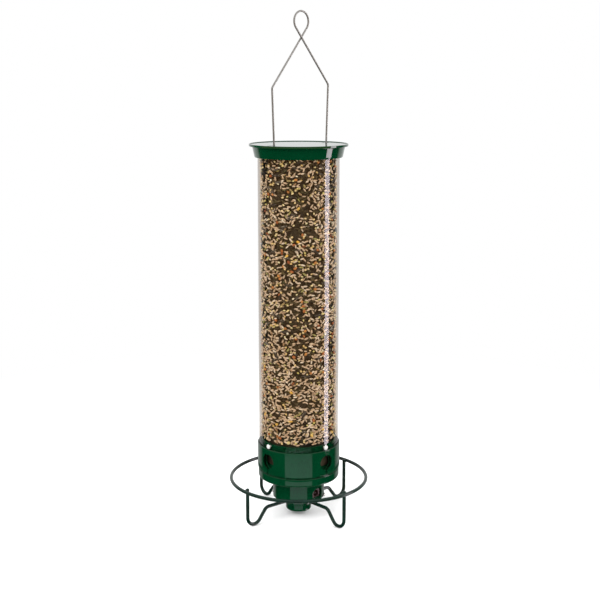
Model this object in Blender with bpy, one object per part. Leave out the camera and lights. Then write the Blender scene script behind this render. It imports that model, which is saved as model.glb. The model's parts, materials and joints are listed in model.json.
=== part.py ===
"""Hanging tube bird feeder with a weight-operated perch ring that a small geared motor turns.

The frame: +Z up, the feet stand on z = 0, and the seed tube's axis is the Z axis.
A turn is an angle about that axis, from -Y towards +X.
"""
import math

import bmesh
import bpy
from mathutils import Matrix, Vector

GAP = 0.0003  # between faces that touch on the real feeder

# Seed tube, seed and hanger
TUBE_OUTER = 0.0410
TUBE_INNER = 0.0392
TUBE_BOTTOM = 0.0532
TUBE_TOP = 0.3845
SEED_TOP = 0.3765
WIRE_RADIUS = 0.00095
HOOK_HEIGHT = 0.3795
HOOK_END = 0.0417
HOOK_BEND = 0.0018
LOOP_CENTRE_Y = 0.0035
LOOP_CENTRE_Z = 0.5048
LOOP_RADIUS = 0.0103
LOOP_LEAN = 0.0016  # how far each strand stands off the middle plane at the loop, to pass each other
SHOULDER_BEND = 0.004
WIRE_FOOT = (-0.0323, 0.0377)  # y of the two strands at the cap
WIRE_SHOULDER = ((-0.0345, 0.4415), (0.0399, 0.4445))  # y and z of the two upper bends

# Cap
CAP_BOTTOM = 0.3735
CAP_FLANGE_LOW = 0.3844
CAP_TOP = 0.3867
CAP_RIM_RADIUS = 0.0495
CAP_SLOT = (0.0309, 0.0408)
CAP_SLOT_WIDTH = 0.0030

# Base: ports, sleeve, baffle, lower band
PORT_RADIUS = 0.0080
PORT_HEIGHT = 0.0655
PORT_SLOT_WIDTH = 0.0018
SLEEVE_OUTER = 0.0426
SLEEVE_INNER = 0.0413
SLEEVE_BOTTOM = 0.0526
SLEEVE_TOP = 0.0785
BAFFLE_OUTER = 0.0389
BAFFLE_INNER = 0.0374
BAFFLE_TOP = 0.0840
RIVET_HEIGHT = 0.0812
BAND_OUTER = 0.0420
BAND_BOTTOM = 0.0423
BAND_TOP = 0.0507
FLOOR_TOP = 0.0443
DRAIN_RING = 0.0330

# Battery column
COLUMN_OUTER = 0.0090
COLUMN_INNER = 0.0079
COLUMN_BOTTOM = 0.0820
COLUMN_TOP = 0.2480
CELL_RADIUS = 0.0071
CELL_LENGTH = 0.0500
CELL_FIRST = 0.0900
CELL_PITCH = 0.0505

# Motor housing and drive
HOUSING_OUTER = 0.0268
HOUSING_INNER = 0.0252
HOUSING_BOTTOM = 0.0194
HOUSING_TOP = 0.0420
COVER_LOW = 0.0196
COVER_HIGH = 0.0226
SCREW_TURNS = (126, 306)
SCREW_HEIGHT = 0.0210
JACK_TURN = 95.5
JACK_HEIGHT = 0.0268
JACK_HOLE_RADIUS = 0.0059
JACK_HOLE_STRETCH = 1.25  # its width over its height
SHAFT_RADIUS = 0.0020
SHAFT_BOTTOM = 0.0066
SHAFT_TOP = 0.0515
BORE_RADIUS = SHAFT_RADIUS + GAP
PERCH_DROP = 0.0030
MODULE = 0.0008
GEAR_TEETH = 30
PINION_TEETH = 8
GEAR_LOW = 0.0330
GEAR_HIGH = 0.0370
MOTOR_OFFSET = MODULE * (GEAR_TEETH + PINION_TEETH) / 2
MOTOR_RADIUS = 0.0075
SPRING_LOW = 0.0240
SPRING_HIGH = 0.0309
COLLAR_LOW = 0.0312
COLLAR_HIGH = 0.0326
LEVER_PIVOT = Vector((-0.0185, 0, 0.0305))
LEAD_RADIUS = 0.0007

# Perch
RING_RADIUS = 0.0705
RING_HEIGHT = 0.0395
PERCH_WIRE = 0.0018  # radius of the ring's and the legs' rod
LEG_RUN = 0.0160  # height of the legs' straight run out of the hub
LEG_SHOULDER = 0.0430
LEG_SHOULDER_BEND = 0.007
LEG_FOOT_BEND = 0.0084
LEG_UPRIGHT = RING_RADIUS - 2 * PERCH_WIRE - GAP
LEG_TOP = 0.0419
HUB_RADIUS = 0.0158
HUB_LOW = 0.0122
HUB_HIGH = 0.0187
KNOB_RADIUS = 0.0134
KNOB_LOW = 0.0043
LEG_TURNS = (-3, 91.5, 180, 266)  # the legs are set by hand, so they aren't quite square

QUARTERS = (0, 90, 180, 270)
MANY = 40  # sides of the large round pieces
SOME = 20
FEW = 12

PAINTS = {  # colour, roughness, metallic
    "green_gloss": ((0.005, 0.075, 0.040), 0.15, 0.0),
    "perch_coat": ((0.010, 0.060, 0.042), 0.30, 0.0),
    "clear_tube": ((0.900, 0.930, 0.920), 0.05, 0.0),
    "mixed_seed": ((0.300, 0.180, 0.080), 0.70, 0.0),
    "steel": ((0.600, 0.600, 0.580), 0.25, 1.0),
    "black_plastic": ((0.020, 0.020, 0.020), 0.45, 0.0),
    "white_nylon": ((0.800, 0.800, 0.760), 0.40, 0.0),
    "brass": ((0.720, 0.530, 0.210), 0.30, 1.0),
    "cell_wrap": ((0.060, 0.250, 0.120), 0.35, 0.0),
    "board": ((0.020, 0.200, 0.080), 0.50, 0.0),
    "lead_red": ((0.550, 0.020, 0.020), 0.50, 0.0),
}


def clear_scene():
    for old in list(bpy.data.objects):
        bpy.data.objects.remove(old, do_unlink=True)


def paint(name):
    """The named material, made once."""
    material = bpy.data.materials.get(name)
    if material is None:
        colour, roughness, metallic = PAINTS[name]
        material = bpy.data.materials.new(name)
        material.use_nodes = True
        shader = material.node_tree.nodes["Principled BSDF"]
        shader.inputs["Base Color"].default_value = (*colour, 1)
        shader.inputs["Roughness"].default_value = roughness
        shader.inputs["Metallic"].default_value = metallic
    return material


def out(turn, radius, height=0.0):
    """The point at a turn about the tube's axis, a radius from it and a height."""
    angle = math.radians(turn)
    return Vector((radius * math.sin(angle), -radius * math.cos(angle), height))


def finish_mesh(name, bm, material):
    """Closes a bmesh into an object with outward faces, smooth except at real edges."""
    bmesh.ops.remove_doubles(bm, verts=bm.verts, dist=1e-6)
    bmesh.ops.recalc_face_normals(bm, faces=bm.faces)
    mesh = bpy.data.meshes.new(name)
    bm.to_mesh(mesh)
    bm.free()
    mesh.shade_smooth()
    mesh.set_sharp_from_angle(angle=math.radians(35))
    thing = bpy.data.objects.new(name, mesh)
    bpy.context.collection.objects.link(thing)
    if material:
        mesh.materials.append(paint(material))
    return thing


def turned(name, outline, sides, material, place=None):
    """A solid turned about Z from (radius, height) points: a closed ring, or open with both ends on the axis."""
    bm = bmesh.new()
    points = [bm.verts.new((r, 0, z)) for r, z in outline]
    on_axis = outline[0][0] == 0 and outline[-1][0] == 0
    followers = points[1:] if on_axis else points[1:] + points[:1]
    edges = [bm.edges.new(pair) for pair in zip(points, followers)]
    bmesh.ops.spin(
        bm, geom=points + edges, cent=(0, 0, 0), axis=(0, 0, 1), angle=math.tau, steps=sides, use_merge=True
    )
    if place:
        bmesh.ops.transform(bm, matrix=place, verts=bm.verts)
    return finish_mesh(name, bm, material)


def tube(name, outer, inner, low, high, sides, material):
    return turned(name, [(outer, low), (outer, high), (inner, high), (inner, low)], sides, material)


def disc(name, radius, low, high, sides, material):
    return turned(name, [(0, low), (radius, low), (radius, high), (0, high)], sides, material)


def pointing(start, end):
    """A matrix that takes the Z axis to the line from start towards end."""
    return Matrix.Translation(start) @ (end - start).to_track_quat("Z", "Y").to_matrix().to_4x4()


def rod(name, start, end, radius, sides, material):
    length = (end - start).length
    outline = [(0, 0), (radius, 0), (radius, length), (0, length)]
    return turned(name, outline, sides, material, pointing(start, end))


def block(name, low, high, material, turn=0):
    """A box between two corners, turned about Z."""
    bm = bmesh.new()
    bmesh.ops.create_cube(bm, size=1)
    low, high = Vector(low), Vector(high)
    size = Matrix.Diagonal((*(high - low), 1))
    matrix = Matrix.Rotation(math.radians(turn), 4, "Z") @ Matrix.Translation((low + high) / 2) @ size
    bmesh.ops.transform(bm, matrix=matrix, verts=bm.verts)
    return finish_mesh(name, bm, material)


def prism(name, outline, low, high, material, place=None):
    """A flat outline of (x, y) points carried from one height to another."""
    bm = bmesh.new()
    face = bm.faces.new([bm.verts.new((x, y, low)) for x, y in outline])
    grown = bmesh.ops.extrude_face_region(bm, geom=[face])
    tops = [v for v in grown["geom"] if isinstance(v, bmesh.types.BMVert)]
    bmesh.ops.translate(bm, verts=tops, vec=(0, 0, high - low))
    if place:
        bmesh.ops.transform(bm, matrix=place, verts=bm.verts)
    return finish_mesh(name, bm, material)


def combine(target, operation, *tools):
    """Cuts the tools out of the target, or joins them to it. The tools stay as hidden guides."""
    for tool in tools:
        tool.hide_render = True
        tool.display_type = "WIRE"
        step = target.modifiers.new(operation.lower(), "BOOLEAN")
        step.operation = operation
        step.solver = "EXACT"
        step.object = tool
    return target


def wire(name, points, radius, sides, material):
    """A round wire along a line of points, with flat ends."""
    curve = bpy.data.curves.new(name, "CURVE")
    curve.dimensions = "3D"
    curve.bevel_depth = radius
    curve.bevel_resolution = sides // 4
    curve.use_fill_caps = True
    curve.materials.append(paint(material))
    spline = curve.splines.new("POLY")
    spline.points.add(len(points) - 1)
    for slot, point in zip(spline.points, points):
        slot.co = (*point, 1)
    thing = bpy.data.objects.new(name, curve)
    bpy.context.collection.objects.link(thing)
    return thing


def rounded(corners, bends, steps):
    """A path through corners whose inner ones are rounded to the given bend radii."""
    path = [corners[0]]
    for before, corner, after, bend in zip(corners, corners[1:], corners[2:], bends):
        into = (corner - before).normalized()
        away = (after - corner).normalized()
        turn = into.angle(away)
        cut = bend * math.tan(turn / 2)
        start = corner - into * cut
        centre = corner + (away - into).normalized() * (bend / math.cos(turn / 2))
        axis = into.cross(away).normalized()
        for i in range(steps + 1):
            spin = Matrix.Rotation(turn * i / steps, 3, axis)
            path.append(centre + spin @ (start - centre))
    path.append(corners[-1])
    return path


def smooth_route(points, steps):
    """A Catmull-Rom curve through hand-chosen points."""
    ends = [2 * points[0] - points[1], *points, 2 * points[-1] - points[-2]]
    path = []
    for a, b, c, d in zip(ends, ends[1:], ends[2:], ends[3:]):
        for i in range(steps):
            t = i / steps
            path.append(
                0.5 * (2 * b + (c - a) * t + (2 * a - 5 * b + 4 * c - d) * t**2 + (3 * b - a - 3 * c + d) * t**3)
            )
    path.append(points[-1])
    return path


def quarter_arc(centre_r, centre_z, radius, start, end, steps):
    """Points of an arc in (radius, height), angles in degrees from outwards towards up."""
    angles = [math.radians(start + (end - start) * i / steps) for i in range(steps + 1)]
    return [(centre_r + radius * math.cos(a), centre_z + radius * math.sin(a)) for a in angles]


def tangent_point(point, centre, radius, side):
    """Where a line from a point touches a circle; side 1 is left of the way to the centre, -1 is right."""
    to_centre = centre - point
    swing = side * math.acos(radius / to_centre.length)
    return centre - Matrix.Rotation(swing, 2) @ (to_centre.normalized() * radius)


def build_hanger():
    """One steel wire: two hooks in the tube's wall, two strands up through the cap, crossed into a hanging loop."""
    centre = Vector((LOOP_CENTRE_Y, LOOP_CENTRE_Z))
    left, right = (Vector(shoulder) for shoulder in WIRE_SHOULDER)
    enter = tangent_point(left, centre, LOOP_RADIUS, 1)
    leave = tangent_point(right, centre, LOOP_RADIUS, -1)
    start = math.atan2(*(enter - centre).yx)
    end = math.atan2(*(leave - centre).yx) % math.tau
    steps = 20
    loop = []
    for i in range(steps + 1):
        part = i / steps
        angle = start + (end - start) * part
        sideways = LOOP_LEAN * (2 * part - 1)
        loop.append(
            Vector((sideways, centre.x + LOOP_RADIUS * math.cos(angle), centre.y + LOOP_RADIUS * math.sin(angle)))
        )
    strands = []
    for foot, shoulder, loop_end in ((WIRE_FOOT[0], left, loop[0]), (WIRE_FOOT[1], right, loop[-1])):
        outward = math.copysign(HOOK_END, foot)
        corners = [
            Vector((0, outward, HOOK_HEIGHT)),
            Vector((0, foot, HOOK_HEIGHT)),
            Vector((0, foot, CAP_TOP)),
            Vector((0, shoulder.x, shoulder.y)),
            loop_end,
        ]
        strands.append(rounded(corners, (HOOK_BEND, HOOK_BEND, SHOULDER_BEND), 5)[:-1])
    wire("hanger_wire", strands[0] + loop + strands[1][::-1], WIRE_RADIUS, 8, "steel")


def build_cap():
    """A flanged lid that slides up the two hanger strands."""
    outline = [
        (0, CAP_TOP - 0.0006),
        (0.0478, CAP_TOP - 0.0006),
        (0.0482, CAP_TOP),
        (0.0491, CAP_TOP),
        (CAP_RIM_RADIUS, CAP_TOP - 0.0005),
        (CAP_RIM_RADIUS, CAP_FLANGE_LOW + 0.0005),
        (0.0491, CAP_FLANGE_LOW),
        (0.0466, CAP_FLANGE_LOW),
        (0.0463, CAP_FLANGE_LOW - 0.0005),
        (0.0443, CAP_BOTTOM + 0.0016),
        (0.0439, CAP_BOTTOM + 0.0005),
        (0.0433, CAP_BOTTOM),
        (0.0426, CAP_BOTTOM),
        (0.0421, CAP_BOTTOM + 0.0006),
        (0.0424, CAP_BOTTOM + 0.0035),
        (0.0440, TUBE_TOP + GAP),
        (0, TUBE_TOP + GAP),
    ]
    cap = turned("top_cap", outline[::-1], MANY, "green_gloss")
    for side in (-1, 1):
        near, far = sorted((side * CAP_SLOT[0], side * CAP_SLOT[1]))
        low = (-CAP_SLOT_WIDTH / 2, near, TUBE_TOP - 0.001)
        high = (CAP_SLOT_WIDTH / 2, far, CAP_TOP + 0.001)
        combine(cap, "DIFFERENCE", block("cap_slot", low, high, None))


def port_cutters():
    return [
        rod("port_cutter", out(turn, 0.0360, PORT_HEIGHT), out(turn, 0.0450, PORT_HEIGHT), PORT_RADIUS, SOME, None)
        for turn in QUARTERS
    ]


def rivet_cutters():
    low, high = 0.0350, 0.0450
    return [
        rod("rivet_cutter", out(turn, low, RIVET_HEIGHT), out(turn, high, RIVET_HEIGHT), 0.0016, FEW, None)
        for turn in QUARTERS
    ]


def build_tube(ports, rivet_holes):
    clear = tube("seed_tube", TUBE_OUTER, TUBE_INNER, TUBE_BOTTOM, TUBE_TOP, MANY, "clear_tube")
    hook_radius = WIRE_RADIUS + GAP
    hooks = [
        rod("hook_hole", out(turn, 0.0370, HOOK_HEIGHT), out(turn, 0.0430, HOOK_HEIGHT), hook_radius, FEW, None)
        for turn in (0, 180)
    ]
    combine(clear, "DIFFERENCE", *ports, *rivet_holes, *hooks)


def build_sleeve(ports):
    """The glossy outer sleeve, with a narrow slot below each port."""
    sleeve = tube("port_sleeve", SLEEVE_OUTER, SLEEVE_INNER, SLEEVE_BOTTOM, SLEEVE_TOP, MANY, "green_gloss")
    combine(sleeve, "DIFFERENCE", *ports)
    for turn in QUARTERS:
        low = (-PORT_SLOT_WIDTH / 2, -0.0450, SLEEVE_BOTTOM - 0.001)
        high = (PORT_SLOT_WIDTH / 2, -0.0400, PORT_HEIGHT - PORT_RADIUS + 0.001)
        combine(sleeve, "DIFFERENCE", block("port_slot", low, high, None, turn))


def build_baffle(ports, rivet_holes):
    """The inner moulding: a skirt against the tube, and a cone that runs the seed out to the ports."""
    outline = [
        (BAFFLE_OUTER, BAFFLE_TOP),
        (BAFFLE_OUTER, TUBE_BOTTOM),
        (0.0368, TUBE_BOTTOM),
        (0.0105, 0.0800),
        (0.0100, 0.0790),
        (0.0075, 0.0790),
        (0.0075, COLUMN_BOTTOM - GAP),
        (COLUMN_OUTER + GAP, COLUMN_BOTTOM - GAP),
        (COLUMN_OUTER + GAP, 0.0860),
        (0.0108, 0.0860),
        (0.0112, 0.0830),
        (BAFFLE_INNER, 0.0555),
        (BAFFLE_INNER, BAFFLE_TOP),
    ]
    baffle = turned("seed_baffle", outline, MANY, "green_gloss")
    combine(baffle, "DIFFERENCE", *ports, *rivet_holes)


def build_seed():
    """The seed that fills the tube, as one plain solid round the battery column."""
    wall = TUBE_INNER - GAP
    core = COLUMN_OUTER + GAP + 0.0001
    outline = [
        (0, 0.2524),
        (core, 0.2524),
        (core, 0.0863),
        (0.0112, 0.0863),
        (0.0115, 0.0834),
        (BAFFLE_INNER - 0.0005, 0.0566),
        (BAFFLE_INNER - 0.0005, BAFFLE_TOP + GAP),
        (wall, BAFFLE_TOP + GAP),
        (wall, SEED_TOP),
        (0, SEED_TOP),
    ]
    turned("seed_fill", outline, MANY, "mixed_seed")


def build_rivets():
    """Domed rivets through the tube's wall into the baffle's skirt."""
    shank, head, rise = 0.0013, 0.0025, 0.0013
    for i, turn in enumerate(QUARTERS):
        inner = 0.0364
        seat = TUBE_OUTER + GAP - inner
        tail = BAFFLE_INNER - GAP - inner
        outline = [(0, tail), (shank, tail), (shank, seat), (head, seat)]
        outline += [(head * 0.92, seat + rise * 0.5), (head * 0.6, seat + rise * 0.88), (0, seat + rise)]
        place = pointing(out(turn, inner, RIVET_HEIGHT), out(turn, 0.05, RIVET_HEIGHT))
        turned(f"tube_rivet_{i + 1}", outline, FEW, "steel", place)


def build_band():
    """The lower band: a shallow cup that closes the base, carries the tube and holds the motor."""
    outline = [
        (BORE_RADIUS + 0.0012, BAND_BOTTOM),
        (BAND_OUTER - 0.0020, BAND_BOTTOM),
        (BAND_OUTER - 0.0006, BAND_BOTTOM + 0.0006),
        (BAND_OUTER, BAND_BOTTOM + 0.0020),
        (BAND_OUTER, BAND_TOP),
        (0.0406, BAND_TOP),
        (0.0406, TUBE_BOTTOM - GAP),
        (0.0372, TUBE_BOTTOM - GAP),
        (0.0372, FLOOR_TOP),
        (BORE_RADIUS + 0.0012, FLOOR_TOP),
    ]
    band = turned("base_band", outline, MANY, "green_gloss")
    low, high = BAND_BOTTOM - 0.002, FLOOR_TOP + 0.002
    holes = [(Vector((0, MOTOR_OFFSET, 0)), 0.0045), (Vector((-0.0134, -0.0134, 0)), 0.0036)]
    holes += [(out(turn + 45, DRAIN_RING), 0.0015) for turn in QUARTERS]
    for place, radius in holes:
        bottom, top = place + Vector((0, 0, low)), place + Vector((0, 0, high))
        combine(band, "DIFFERENCE", rod("floor_hole", bottom, top, radius, FEW, None))


def build_housing():
    """The motor housing's shell, its bottom cover and the cover's two side screws."""
    outline = [
        (HOUSING_INNER, HOUSING_TOP),
        (HOUSING_INNER, HOUSING_BOTTOM),
        (HOUSING_OUTER - 0.0010, HOUSING_BOTTOM),
        (HOUSING_OUTER - 0.0003, HOUSING_BOTTOM + 0.0004),
        (HOUSING_OUTER, HOUSING_BOTTOM + 0.0012),
        (HOUSING_OUTER, HOUSING_TOP),
    ]
    shell = turned("motor_housing", outline, MANY, "green_gloss")
    start, end = out(JACK_TURN, 0.0235, JACK_HEIGHT), out(JACK_TURN, 0.03, JACK_HEIGHT)
    oval = pointing(start, end) @ Matrix.Diagonal((JACK_HOLE_STRETCH, 1, 1, 1))
    length = (end - start).length
    outline = [(0, 0), (JACK_HOLE_RADIUS, 0), (JACK_HOLE_RADIUS, length), (0, length)]
    jack = turned("jack_hole", outline, SOME, None, oval)
    cover = tube("housing_cover", HOUSING_INNER - GAP, 0.0036, COVER_LOW, COVER_HIGH, MANY, "green_gloss")
    screw_holes = [
        rod("screw_hole", out(turn, 0.0175, SCREW_HEIGHT), out(turn, 0.03, SCREW_HEIGHT), 0.0010, FEW, None)
        for turn in SCREW_TURNS
    ]
    combine(shell, "DIFFERENCE", jack, *screw_holes)
    combine(cover, "DIFFERENCE", *screw_holes)
    for i, turn in enumerate(SCREW_TURNS):
        inner = 0.0180
        seat = HOUSING_OUTER + GAP - inner
        outline = [(0, 0), (0.0007, 0), (0.0007, seat), (0.0018, seat), (0.0018, seat + 0.0006)]
        outline += [(0.0012, seat + 0.0012), (0, seat + 0.0013)]
        place = pointing(out(turn, inner, SCREW_HEIGHT), out(turn, 0.03, SCREW_HEIGHT))
        turned(f"cover_screw_{i + 1}", outline, FEW, "steel", place)


def build_bushes():
    lower = [
        (BORE_RADIUS, COVER_LOW - GAP),
        (0.0033, COVER_LOW - GAP),
        (0.0033, COVER_HIGH + GAP),
        (0.0055, COVER_HIGH + GAP),
        (0.0055, SPRING_LOW - GAP),
        (BORE_RADIUS, SPRING_LOW - GAP),
    ]
    turned("lower_bush", lower, SOME, "brass")
    upper = [
        (BORE_RADIUS, 0.0415),
        (0.0032, 0.0415),
        (0.0032, FLOOR_TOP + GAP),
        (0.0050, FLOOR_TOP + GAP),
        (0.0050, 0.0460),
        (BORE_RADIUS, 0.0460),
    ]
    turned("upper_bush", upper, SOME, "brass")


def tooth_outline(teeth, first):
    """Involute teeth of one module, as (x, y) points; first is the angle of one tooth's middle."""
    pitch = MODULE * teeth / 2
    pressure = math.radians(20)
    base = pitch * math.cos(pressure)
    tip = pitch + 0.7 * MODULE
    root = pitch - 1.2 * MODULE
    thickness = 0.34 * math.pi * MODULE

    def half_angle(radius):
        slope = math.acos(min(1, base / radius))
        return thickness / (2 * pitch) + math.tan(pressure) - pressure - math.tan(slope) + slope

    rises = [root, max(base, root * 1.02), pitch, tip]
    points = []
    for i in range(teeth):
        middle = first + math.tau * i / teeth
        for radius in rises:
            angle = middle - half_angle(max(radius, base))
            points.append((radius * math.cos(angle), radius * math.sin(angle)))
        for radius in reversed(rises):
            angle = middle + half_angle(max(radius, base))
            points.append((radius * math.cos(angle), radius * math.sin(angle)))
    return points


def build_drive():
    """Motor and pinion, the gear on the perch's shaft, the collar under it and the spring that lifts them."""
    axle = Vector((0, MOTOR_OFFSET, 0))
    motor = turned(
        "gear_motor",
        [(0, FLOOR_TOP + GAP), (MOTOR_RADIUS, FLOOR_TOP + GAP), (MOTOR_RADIUS, 0.0630), (0.0068, 0.0640), (0, 0.0640)],
        SOME,
        "steel",
        Matrix.Translation(axle),
    )
    end_cap = disc("motor_end", 0.0030, 0.0635, 0.0648, FEW, None)
    end_cap.location = axle
    combine(motor, "UNION", end_cap)

    first = -math.pi / 2 + math.pi / PINION_TEETH
    pinion = prism("drive_pinion", tooth_outline(PINION_TEETH, first), 0.0290, 0.0385, "white_nylon")
    pinion.location = axle
    stub = disc("pinion_stub", 0.0011, 0.0380, FLOOR_TOP, FEW, None)
    stub.location = axle
    combine(pinion, "UNION", stub)

    gear = prism("perch_gear", tooth_outline(GEAR_TEETH, math.pi / 2), GEAR_LOW, GEAR_HIGH, "white_nylon")
    boss = disc("gear_boss", 0.0040, GEAR_LOW + 0.001, 0.0412, SOME, None)
    bore = disc("gear_bore", BORE_RADIUS, GEAR_LOW - 0.002, 0.0430, SOME, None)
    combine(gear, "UNION", boss)
    combine(gear, "DIFFERENCE", bore)

    disc("output_shaft", SHAFT_RADIUS, SHAFT_BOTTOM, SHAFT_TOP, SOME, "steel")
    tube("thrust_collar", 0.0075, BORE_RADIUS, COLLAR_LOW, COLLAR_HIGH, SOME, "brass")
    clip_low = 0.0460 + PERCH_DROP + GAP
    tube("retaining_clip", 0.0042, BORE_RADIUS, clip_low, clip_low + 0.0008, SOME, "steel")
    build_spring()


def build_spring():
    wire_radius, coil_radius, turns, per_turn = 0.0004, 0.0042, 4, 10
    low = SPRING_LOW + wire_radius
    high = SPRING_HIGH - wire_radius
    steps = turns * per_turn
    points = []
    for i in range(steps + 1):
        angle = math.tau * i / per_turn
        height = low + (high - low) * i / steps
        points.append(Vector((coil_radius * math.cos(angle), coil_radius * math.sin(angle), height)))
    wire("return_spring", points, wire_radius, 4, "steel")


def build_switch():
    """The micro-switch that the collar presses through its lever when a heavy animal pulls the perch down."""
    low = COVER_HIGH + GAP
    body = block("micro_switch", (-0.0200, -0.0030, low), (-0.0090, 0.0030, 0.0265), "black_plastic")
    post = block("switch_post", (-0.0200, -0.0015, 0.0260), (-0.0172, 0.0015, 0.0294), None)
    combine(body, "UNION", post)
    lever = block("switch_lever", (-0.0005, -0.0020, -0.0003), (0.0123, 0.0020, 0.0003), "steel")
    lever.location = LEVER_PIVOT


def build_electrics():
    """Circuit board, charging jack and the leads from the battery column and the motor."""
    low = COVER_HIGH + GAP
    board = block("circuit_board", (-0.0120, -0.0210, low), (0.0120, -0.0115, low + 0.0012), "board")
    chip = block("chip", (0.0010, -0.0180, low + 0.0010), (0.0070, -0.0140, low + 0.0026), None)
    combine(board, "UNION", chip)

    turn = JACK_TURN
    jack = block("charging_jack", (-0.0052, -0.0242, low), (0.0052, -0.0145, 0.0322), "black_plastic", turn)
    socket = rod("jack_socket", out(turn, 0.0165, JACK_HEIGHT), out(turn, 0.0260, JACK_HEIGHT), 0.0036, SOME, None)
    pin = rod("jack_pin", out(turn, 0.0160, JACK_HEIGHT), out(turn, 0.0232, JACK_HEIGHT), 0.0009, FEW, None)
    combine(jack, "DIFFERENCE", socket)
    combine(jack, "UNION", pin)

    routes = {  # millimetres, by hand: from the contact or the motor, through the floor's hole, to the board
        "battery_lead_red": (
            [(-1.2, 0, 88), (-1.2, -0.5, 80), (-3, -3, 72), (-8, -8.5, 62), (-12.3, -12.3, 52)]
            + [(-12.3, -12.3, 44), (-12.3, -12.8, 36), (-10.5, -14.5, 29), (-8, -15, 24.6)]
        ),
        "battery_lead_black": (
            [(1.2, 0, 88), (1.2, -1, 80), (0.5, -4.5, 72), (-5.5, -11, 62), (-12.3, -14.5, 52)]
            + [(-12.3, -14.5, 44), (-11.5, -15.6, 36), (-8.5, -17, 29), (-5, -17.5, 24.6)]
        ),
        "motor_lead_red": (
            [(-4.8, 13.5, 64.6), (-5.4, 12.6, 66.2), (-9, 9, 64.5), (-12.8, 3, 57), (-14.6, -5, 51)]
            + [(-14.5, -12.3, 46.5), (-14.5, -12.3, 42), (-14.7, -13, 36), (-13, -14, 29), (-11, -15, 24.6)]
        ),
        "motor_lead_black": (
            [(4.8, 13.5, 64.6), (4, 10.5, 67.2), (-3.5, 5, 67), (-10.5, -2.5, 62), (-15, -9.5, 53)]
            + [(-14.5, -14.5, 47), (-14.5, -14.5, 42), (-14.2, -16, 36), (-12.5, -17.8, 29), (-9.5, -18.5, 24.6)]
        ),
    }
    for name, points in routes.items():
        route = smooth_route([Vector(point) * 0.001 for point in points], 2)
        wire(name, route, LEAD_RADIUS, 4, "lead_red" if name.endswith("red") else "black_plastic")


def build_battery_column():
    """A round column in the middle of the seed that holds three cells end to end."""
    tube("battery_column", COLUMN_OUTER, COLUMN_INNER, COLUMN_BOTTOM, COLUMN_TOP, SOME, "black_plastic")
    plug = COLUMN_INNER - GAP
    outline = [(0, 0.2430), (plug, 0.2430), (plug, COLUMN_TOP + GAP), (COLUMN_OUTER, COLUMN_TOP + GAP)]
    outline += [(COLUMN_OUTER, 0.2500), (0.0070, 0.2516), (0, 0.2520)]
    turned("column_cap", outline, SOME, "black_plastic")
    for i in range(3):
        low = CELL_FIRST + CELL_PITCH * i
        body_top, tip_top = low + CELL_LENGTH - 0.0015, low + CELL_LENGTH
        outline = [(0, low), (CELL_RADIUS, low), (CELL_RADIUS, body_top), (0.0026, body_top)]
        outline += [(0.0026, tip_top), (0, tip_top)]
        turned(f"battery_cell_{i + 1}", outline, SOME, "cell_wrap")
    disc("lower_contact", 0.0065, 0.0887, 0.0895, SOME, "brass")
    disc("upper_contact", 0.0065, 0.2415, 0.2423, SOME, "brass")


def leg_profile():
    """The (radius, height) corners of a leg: run, shoulder, slope tangent to the foot's bend, upright."""
    shoulder = Vector((LEG_SHOULDER, LEG_RUN))
    foot_centre = Vector((LEG_UPRIGHT - LEG_FOOT_BEND, PERCH_WIRE + LEG_FOOT_BEND))
    to_centre = foot_centre - shoulder
    slope = math.atan2(to_centre.y, to_centre.x) - math.asin(LEG_FOOT_BEND / to_centre.length)
    below = LEG_RUN + (LEG_UPRIGHT - LEG_SHOULDER) * math.tan(slope)
    inner_end = 0.0062
    return [(inner_end, LEG_RUN), (LEG_SHOULDER, LEG_RUN), (LEG_UPRIGHT, below), (LEG_UPRIGHT, LEG_TOP)]


def build_perch():
    """Ring, four bent legs, the hub that they plug into and the knob under it."""
    around = [out(360 * i / MANY, RING_RADIUS, RING_HEIGHT) for i in range(MANY)]
    ring = wire("perch_ring", around, PERCH_WIRE, 8, "perch_coat")
    ring.data.splines[0].use_cyclic_u = True

    sockets = []
    for i, turn in enumerate(LEG_TURNS):
        corners = [out(turn, radius, height) for radius, height in leg_profile()]
        path = rounded(corners, (LEG_SHOULDER_BEND, LEG_FOOT_BEND), 8)
        wire(f"perch_leg_{i + 1}", path, PERCH_WIRE, 8, "perch_coat")
        socket_radius = PERCH_WIRE + GAP
        sockets.append(
            rod("leg_socket", out(turn, 0.0059, LEG_RUN), out(turn, 0.0180, LEG_RUN), socket_radius, FEW, None)
        )
    outline = [
        (BORE_RADIUS, HUB_LOW),
        (HUB_RADIUS - 0.0008, HUB_LOW),
        (HUB_RADIUS, HUB_LOW + 0.0008),
        (HUB_RADIUS, HUB_HIGH - 0.0006),
        (HUB_RADIUS - 0.0006, HUB_HIGH),
        (BORE_RADIUS, HUB_HIGH),
    ]
    combine(turned("leg_hub", outline, MANY, "green_gloss"), "DIFFERENCE", *sockets)

    top = HUB_LOW - GAP
    edge = 0.0025
    outline = [(0, KNOB_LOW)]
    outline += quarter_arc(KNOB_RADIUS - edge, KNOB_LOW + edge, edge, -90, 0, 4)
    outline += [(KNOB_RADIUS, top), (BORE_RADIUS, top), (BORE_RADIUS, SHAFT_BOTTOM - GAP), (0, SHAFT_BOTTOM - GAP)]
    turned("hub_knob", outline, SOME, "green_gloss")


def main():
    clear_scene()
    ports = port_cutters()
    rivet_holes = rivet_cutters()
    build_tube(ports, rivet_holes)
    build_sleeve(ports)
    build_baffle(ports, rivet_holes)
    build_seed()
    build_rivets()
    build_hanger()
    build_cap()
    build_band()
    build_housing()
    build_bushes()
    build_drive()
    build_switch()
    build_electrics()
    build_battery_column()
    build_perch()


main()
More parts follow.
